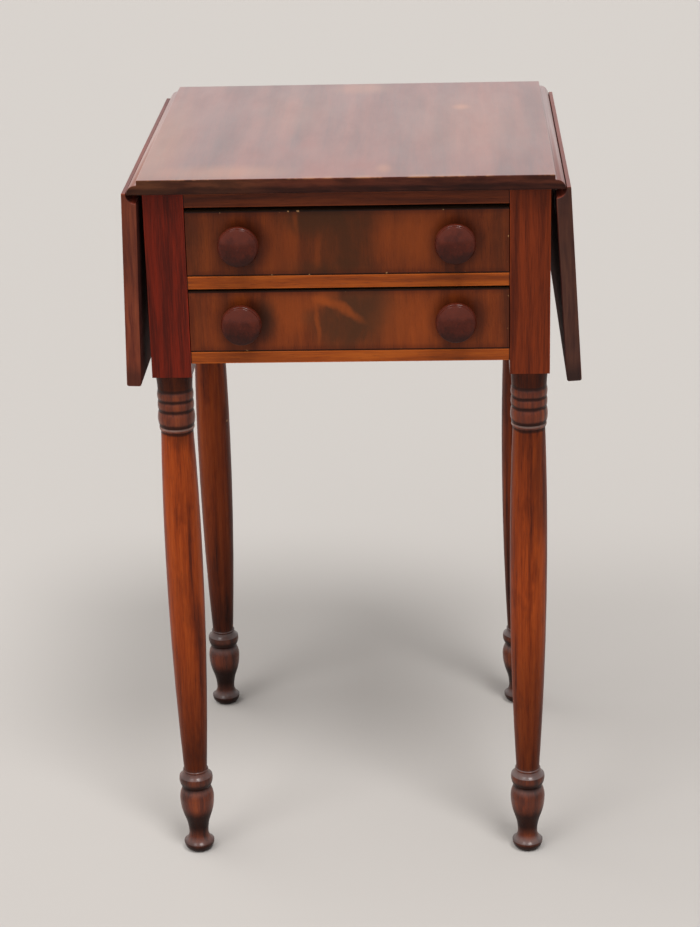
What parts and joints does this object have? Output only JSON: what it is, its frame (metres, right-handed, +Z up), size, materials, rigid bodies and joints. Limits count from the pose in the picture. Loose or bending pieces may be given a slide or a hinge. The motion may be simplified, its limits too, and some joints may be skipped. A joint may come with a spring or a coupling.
{
  "type": "work table",
  "caption": "Small work table with turned tapering legs, veneered drawers with turned knobs, and a leaf hung on rule joints at each side of the top.",
  "frame": {"origin": "on the floor under the middle of the table", "axes": "+Z up, -Y out of the drawer fronts, +X to the right as seen from the front"},
  "size_m": [0.4327, 0.411, 0.724],
  "materials": {
    "top": "old polished finish, worn at the front edge",
    "legs": "old polished finish",
    "leaves": "old polished finish",
    "rails": "old polished finish",
    "panels": "old polished finish",
    "veneer": "figured veneer, polished",
    "knobs": "dark polished finish",
    "drawer_core": "bare wood, planed",
    "inner_wood": "bare wood, planed",
    "iron": "dull dark iron",
    "screws": "dull steel"
  },
  "bodies": {
    "frame": {"leg_front_left": "legs", "leg_front_right": "legs", "leg_back_left": "legs", "leg_back_right": "legs", "side_panel_left": "panels", "side_panel_right": "panels", "back_panel": "panels", "front_top_rail": "rails", "drawer_divider": "rails", "front_bottom_rail": "rails", "upper_runner_left": "inner_wood", "upper_runner_right": "inner_wood", "lower_runner_left": "inner_wood", "lower_runner_right": "inner_wood", "kicker_left": "inner_wood", "kicker_right": "inner_wood", "table_top": "top", "top_screws": "screws", "fly_rail_left": "inner_wood", "fly_rail_right": "inner_wood", "fly_pin_left": "iron", "fly_pin_right": "iron", "fly_rail_screws": "screws", "hinge_top_screws": "screws", "hinge_left_front_top_plate": "iron", "hinge_left_back_top_plate": "iron", "hinge_right_front_top_plate": "iron", "hinge_right_back_top_plate": "iron", "hinge_left_front_pin": "iron", "hinge_left_back_pin": "iron", "hinge_right_front_pin": "iron", "hinge_right_back_pin": "iron"},
    "left_leaf": {"leaf_left": "leaves", "hinge_left_front_leaf_plate": "iron", "hinge_left_back_leaf_plate": "iron", "hinge_leaf_screws_left": "screws"},
    "right_leaf": {"leaf_right": "leaves", "hinge_right_front_leaf_plate": "iron", "hinge_right_back_leaf_plate": "iron", "hinge_leaf_screws_right": "screws"},
    "left_support": {"fly_bracket_left": "inner_wood"},
    "right_support": {"fly_bracket_right": "inner_wood"},
    "upper_drawer": {"upper_drawer_front": "drawer_core", "upper_drawer_veneer": "veneer", "upper_drawer_side_left": "inner_wood", "upper_drawer_side_right": "inner_wood", "upper_drawer_back": "inner_wood", "upper_drawer_bottom": "inner_wood", "upper_drawer_knob_left": "knobs", "upper_drawer_knob_right": "knobs"},
    "lower_drawer": {"lower_drawer_front": "drawer_core", "lower_drawer_veneer": "veneer", "lower_drawer_side_left": "inner_wood", "lower_drawer_side_right": "inner_wood", "lower_drawer_back": "inner_wood", "lower_drawer_bottom": "inner_wood", "lower_drawer_knob_left": "knobs", "lower_drawer_knob_right": "knobs"}
  },
  "joints": [
    {"name": "upper_drawer_slide", "type": "slide", "parent": "frame", "child": "upper_drawer", "axis": [0, -1, 0], "range_m": [0, 0.26]},
    {"name": "lower_drawer_slide", "type": "slide", "parent": "frame", "child": "lower_drawer", "axis": [0, -1, 0], "range_m": [0, 0.26]},
    {"name": "left_leaf_hinge", "type": "hinge", "parent": "frame", "child": "left_leaf", "pos_m": [-0.1946, 0, 0.7107], "axis": [0, 1, 0], "range_deg": [0, 88.4]},
    {"name": "right_leaf_hinge", "type": "hinge", "parent": "frame", "child": "right_leaf", "pos_m": [0.1946, 0, 0.7107], "axis": [0, -1, 0], "range_deg": [0, 86.4]},
    {"name": "left_support_swing", "type": "hinge", "parent": "frame", "child": "left_support", "pos_m": [-0.1775, 0.0065, 0.6895], "axis": [0, 0, 1], "range_deg": [0, 3.6]},
    {"name": "right_support_swing", "type": "hinge", "parent": "frame", "child": "right_support", "pos_m": [0.1775, 0.0065, 0.6895], "axis": [0, 0, -1], "range_deg": [0, 3.75]}
  ]
}
